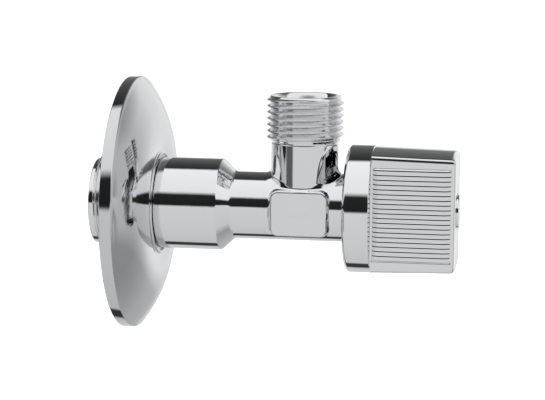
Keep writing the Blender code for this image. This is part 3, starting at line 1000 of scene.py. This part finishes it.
class VALVE_OT_knob(bpy.types.Operator):
    """Make the knob's shell with its sunken fields"""

    bl_idname = "valve.knob"
    bl_label = "Knob"

    def execute(self, context):
        settings = context.scene.valve_knob
        made = revolved("knob_shell", knob_profile(settings), turn=knob_turn(settings))
        sink_field(made, settings)
        outward(made.data, 30)
        dressed(made, "chrome_on_moulded_abs", "chromed_plastic", "knob_and_spindle", "knob")
        return {"FINISHED"}


class VALVE_OT_knob_ribs(bpy.types.Operator):
    """Repeat the grip ribs up both flats of the knob"""

    bl_idname = "valve.knob_ribs"
    bl_label = "Knob ribs"

    def execute(self, context):
        settings = context.scene.valve_knob
        made = grown(
            "knob_ribs",
            rib_tree(),
            {
                "Count": settings.rib_count,
                "Pitch": settings.rib_pitch,
                "Width": settings.rib_pitch,
                "Depth": settings.rib_height,
                "Face": settings.half_width - settings.field_depth,
                "From": FLANGE_END_X + 0.5 * MM,
                "To": FIELD_END_X,
                "Finish": bpy.data.materials["chrome_on_moulded_abs"],
            },
        )
        outward(made.data, 50)
        dressed(made, "chrome_on_moulded_abs", "chromed_plastic", "knob_and_spindle")
        return {"FINISHED"}


class VALVE_OT_index_cap(bpy.types.Operator):
    """Make the small cap in the knob's end"""

    bl_idname = "valve.index_cap"
    bl_label = "Index cap"

    def execute(self, context):
        radius = cap_high.z
        stations = softened(
            (cap_low.x, 0, 0),
            (cap_low.x, radius, 0.15 * MM),
            (cap_high.x - 0.12 * MM, radius, 0.2 * MM),
            (cap_high.x, radius * 0.55, 1.0 * MM),
            (cap_high.x, 0, 0),
        )
        made = revolved("index_cap_cover", stations, loop=False)
        dressed(made, "chrome_on_moulded_abs", "chromed_plastic", "knob_and_spindle", "index_cap")
        return {"FINISHED"}


# --- Escutcheon -----------------------------------------------------------------------------------


class EscutcheonSettings(bpy.types.PropertyGroup):
    rim_width: length("Rim", "Width of the rim wall", 2.4 * MM)
    sheet: length("Sheet", "Thickness of the sheet", 0.6 * MM)
    crown: length("Crown", "Rise of the domed face", 1.9 * MM)
    hole_radius: length("Hole", "Radius of the hole", 10.65 * MM)


class VALVE_OT_escutcheon(bpy.types.Operator):
    """Make the pressed wall plate with its domed face and rolled lip"""

    bl_idname = "valve.escutcheon"
    bl_label = "Escutcheon"

    def execute(self, context):
        settings = context.scene.valve_escutcheon
        back, lip = plate_low.x, plate_high.x
        outer = plate_high.z
        rim_end = back + settings.rim_width
        hole = settings.hole_radius
        neck = (lip - 0.4 * MM, hole + 0.7 * MM)
        steps = 48

        def face(rise):
            border = (rim_end + 0.3 * MM, outer - 0.5 * MM - rise)
            points = []
            for step in range(steps + 1):
                part = step / steps
                crown = 4 * settings.crown * part * (1 - part)
                along = border[0] + (neck[0] - border[0]) * part + crown - rise
                points.append((along, border[1] + (neck[1] - border[1]) * part, 0))
            return points

        inner = outer - settings.sheet
        stations = softened(
            (back, inner, 0),
            (back, outer, 0.2 * MM),
            (rim_end, outer, 0.45 * MM),
            *face(0),
            (lip - 0.3 * MM, hole + 0.45 * MM, 0.1 * MM),
            (lip, hole + 0.36 * MM, 0.18 * MM),
            (lip, hole, 0.18 * MM),
            (lip - 0.9 * MM, hole, 0.1 * MM),
            *reversed(face(settings.sheet)),
            (rim_end - 0.6 * MM, inner, 0.3 * MM),
            (back, inner, 0),
        )[:-1]
        segments = 360
        made = revolved("escutcheon_plate", stations, segments)
        dressed(made, "chrome_on_pressed_sheet", "chromed_sheet", "escutcheon", "escutcheon")
        return {"FINISHED"}


# --- Headwork, hidden under the knob --------------------------------------------------------------


HEADWORK = {
    "nickel_on_turned_brass": ("bonnet",),
    "turned_brass": ("clip_washer", "spindle", "knob_insert", "plunger", "washer_screw"),
    "zinc_plated_steel": ("retaining_clip", "lock_washer", "knob_screw"),
    "moulded_epdm": (
        "spindle_o_ring_inner",
        "spindle_o_ring_outer",
        "plunger_o_ring",
        "valve_washer",
    ),
    "pressed_red_fibre": ("bonnet_gasket",),
    "ptfe_sheet": ("thrust_washer",),
}


class VALVE_OT_headwork(bpy.types.Operator):
    """Give the pieces inside the valve their finishes"""

    bl_idname = "valve.headwork"
    bl_label = "Headwork"

    def execute(self, context):
        for finish, nodes in HEADWORK.items():
            for node in nodes:
                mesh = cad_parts[node].data
                mesh.materials.clear()
                mesh.materials.append(bpy.data.materials[finish])
        return {"FINISHED"}


# --- Stage ----------------------------------------------------------------------------------------


class StageSettings(bpy.types.PropertyGroup):
    camera_from_corner: FloatVectorProperty(
        name="Camera place",
        description="Where the camera stands, from the crossing of the valve's axes",
        default=(0.0572, -0.3918, 0.0627),
        unit="LENGTH",
    )
    camera_turn: rotation("Turn", "Turn to the left", 9.31)
    camera_tilt: rotation("Tilt", "Tilt down", 8.80)
    camera_roll: rotation("Roll", "Roll", 0.40)
    lens: FloatProperty(name="Lens", description="Focal length in millimetres", default=122.2)
    floor_drop: length("Floor drop", "From the axis down to the floor", 0.25)


# Brightness of the studio round the valve's long axis, in degrees: 0 is straight in front, 90 above
STUDIO_BANDS = (
    (-180, 0.80),
    (-128, 0.60),
    (-122, 0.04),
    (-110, 0.04),
    (-106, 0.60),
    (-60, 0.66),
    (-1, 0.70),
    (3, 0.015),
    (29, 0.02),
    (37, 0.88),
    (100, 0.98),
    (106, 0.03),
    (125, 0.06),
    (150, 0.12),
    (168, 0.20),
    (175, 0.80),
)

# Behind the valve to the right: brightness by height of the direction, and its sideways fall
RIGHT_BY_HEIGHT = (
    (-1.0, 0.45),
    (-0.34, 0.55),
    (-0.20, 0.90),
    (0.30, 0.92),
    (0.60, 0.25),
    (1.0, 0.10),
)
RIGHT_BY_SIDE = ((0.0, 1.0), (0.40, 0.95), (0.80, 0.62), (1.0, 0.62))

# How far that light replaces the bands, by how far the direction points behind and to the right
FROM_BEHIND = ((-0.05, 0), (0.15, 1))
FROM_RIGHT = ((0.0, 0), (0.10, 1))

# Dark gap between two lamps, left of the camera, by azimuth in degrees, below the horizon
LAMP_GAP = ((-62, 0), (-56, 1), (-36, 1), (-31, 0))
GAP_HEIGHTS = (-0.5, -0.03)
GAP_BRIGHTNESS = 0.11


def ramp_of(tree, source, low, high, stops):
    """A colour ramp over low to high, from (place, brightness) pairs."""
    inputs = {"Value": source, "From Min": low, "From Max": high, "To Min": 0.0, "To Max": 1.0}
    part = add(tree, "ShaderNodeMapRange", inputs)
    ramp = add(tree, "ShaderNodeValToRGB", {"Fac": part.outputs[0]})
    elements = ramp.color_ramp.elements
    elements.remove(elements[1])
    for index, (place, level) in enumerate(stops):
        position = (place - low) / (high - low)
        stop = elements[0] if index == 0 else elements.new(position)
        stop.position = position
        stop.color = (level, level, level, 1)
    return ramp.outputs["Color"]


def studio_light():
    """World light: bands round the valve, a pale sweep behind it to the right, a dark gap."""
    world = bpy.data.worlds.new("studio")
    bpy.context.scene.world = world
    world.use_nodes = True
    tree = world.node_tree
    tree.nodes.clear()
    direction = add(tree, "ShaderNodeTexCoord").outputs["Generated"]
    side, depth, height = add(tree, "ShaderNodeSeparateXYZ", {0: direction}).outputs
    calc = calculator(tree)

    def mixed(part, one, two, blend="MIX"):
        inputs = {0: part, 6: one, 7: two}
        node = add(tree, "ShaderNodeMix", inputs, data_type="RGBA", blend_type=blend)
        return node.outputs[2]

    def background(colour):
        return add(tree, "ShaderNodeBackground", {"Color": colour, "Strength": 1.0}).outputs[0]

    front = calc("MULTIPLY", depth, -1.0)
    round_axis = calc("DEGREES", calc("ARCTAN2", height, front))
    azimuth = calc("DEGREES", calc("ARCTAN2", side, front))
    bands = ramp_of(tree, round_axis, -180, 180, STUDIO_BANDS)
    right = mixed(
        1.0,
        ramp_of(tree, height, -1, 1, RIGHT_BY_HEIGHT),
        ramp_of(tree, side, 0, 1, RIGHT_BY_SIDE),
        "MULTIPLY",
    )
    behind = ramp_of(tree, depth, -1, 1, FROM_BEHIND)
    to_right = calc("MULTIPLY", ramp_of(tree, side, -1, 1, FROM_RIGHT), behind)
    lit = mixed(to_right, bands, right)
    gap_low, gap_high = GAP_HEIGHTS
    above = calc("GREATER_THAN", height, gap_low)
    level = calc("MULTIPLY", above, calc("LESS_THAN", height, gap_high))
    gap = calc("MULTIPLY", ramp_of(tree, azimuth, -180, 180, LAMP_GAP), level)
    lit = mixed(gap, lit, (*[GAP_BRIGHTNESS] * 3, 1))

    white = background((1, 1, 1, 1))
    seen = add(tree, "ShaderNodeLightPath").outputs["Is Camera Ray"]
    both = add(tree, "ShaderNodeMixShader", {0: seen, 1: background(lit), 2: white})
    add(tree, "ShaderNodeOutputWorld", {"Surface": both.outputs[0]})


def pale_floor(drop):
    """Plain floor well below the valve. Polished metal mirrors the studio bands instead of it."""
    mesh = bpy.data.meshes.new("floor")
    work = bmesh.new()
    bmesh.ops.create_grid(work, x_segments=1, y_segments=1, size=30)
    bmesh.ops.translate(work, vec=(0, 0, -drop), verts=work.verts)
    work.to_mesh(mesh)
    work.free()
    floor = linked("floor", mesh)
    new_material(
        "matt_white_paint",
        Base_Color=(*linear("#FAFAFA"), 1),
        Roughness=0.9,
        Emission_Strength=0.55,
        Emission_Color=(1, 1, 1, 1),
    )
    floor.data.materials.append(bpy.data.materials["matt_white_paint"])
    floor.visible_glossy = False


def soft_lamp():
    """Large soft lamp overhead, for the floor and the matt pieces. The chrome doesn't mirror it."""
    lamp = bpy.data.lights.new("overhead_softbox", "AREA")
    lamp.shape = "RECTANGLE"
    lamp.size, lamp.size_y = 2.4, 1.6
    lamp.energy = 30
    made = bpy.data.objects.new("overhead_softbox", lamp)
    made.location = (0.1, -0.3, 1.5)
    made.visible_glossy = False
    bpy.context.scene.collection.objects.link(made)


def camera(settings):
    """Camera that sees the valve a little from the knob's side and from above."""
    data = bpy.data.cameras.new("camera")
    data.lens = settings.lens
    data.sensor_width = 36
    data.clip_start, data.clip_end = 0.01, 100
    made = bpy.data.objects.new("camera", data)
    place = Vector(settings.camera_from_corner) + Vector((OUTLET_X, 0, 0))
    turn = Matrix.Rotation(settings.camera_turn, 4, "Z")
    tilt = Matrix.Rotation(math.pi / 2 - settings.camera_tilt, 4, "X")
    roll = Matrix.Rotation(settings.camera_roll, 4, "Z")
    made.matrix_world = Matrix.Translation(place) @ turn @ tilt @ roll
    bpy.context.scene.collection.objects.link(made)
    bpy.context.scene.camera = made


class VALVE_OT_stage(bpy.types.Operator):
    """Set up the floor, the studio light and the camera"""

    bl_idname = "valve.stage"
    bl_label = "Stage"

    def execute(self, context):
        settings = context.scene.valve_stage
        context.scene.view_settings.view_transform = "Standard"
        studio_light()
        pale_floor(settings.floor_drop)
        soft_lamp()
        camera(settings)
        return {"FINISHED"}


# --- Add-on ---------------------------------------------------------------------------------------


OPERATORS = (
    VALVE_OT_finishes,
    VALVE_OT_body_corner,
    VALVE_OT_inlet_barrel,
    VALVE_OT_outlet_nipple,
    VALVE_OT_threads,
    VALVE_OT_knob,
    VALVE_OT_knob_ribs,
    VALVE_OT_index_cap,
    VALVE_OT_escutcheon,
    VALVE_OT_headwork,
    VALVE_OT_stage,
)

SETTINGS = {
    "valve_finishes": FinishSettings,
    "valve_body": BodySettings,
    "valve_threads": ThreadSettings,
    "valve_knob": KnobSettings,
    "valve_escutcheon": EscutcheonSettings,
    "valve_stage": StageSettings,
}


class VALVE_PT_panel(bpy.types.Panel):
    """Lists the steps that build the valve"""

    bl_idname = "VALVE_PT_panel"
    bl_label = "Angle stop valve"
    bl_space_type = "VIEW_3D"
    bl_region_type = "UI"
    bl_category = "Valve"

    def draw(self, context):
        for operator in OPERATORS:
            self.layout.operator(operator.bl_idname)


def register():
    for group in SETTINGS.values():
        bpy.utils.register_class(group)
    for name, group in SETTINGS.items():
        setattr(bpy.types.Scene, name, PointerProperty(type=group))
    for made in (*OPERATORS, VALVE_PT_panel):
        bpy.utils.register_class(made)


def unregister():
    for made in (VALVE_PT_panel, *reversed(OPERATORS)):
        bpy.utils.unregister_class(made)
    for name in SETTINGS:
        delattr(bpy.types.Scene, name)
    for group in SETTINGS.values():
        bpy.utils.unregister_class(group)


def main():
    register()
    for operator in OPERATORS:
        family, name = operator.bl_idname.split(".")
        getattr(getattr(bpy.ops, family), name)()


if __name__ == "__main__":
    main()
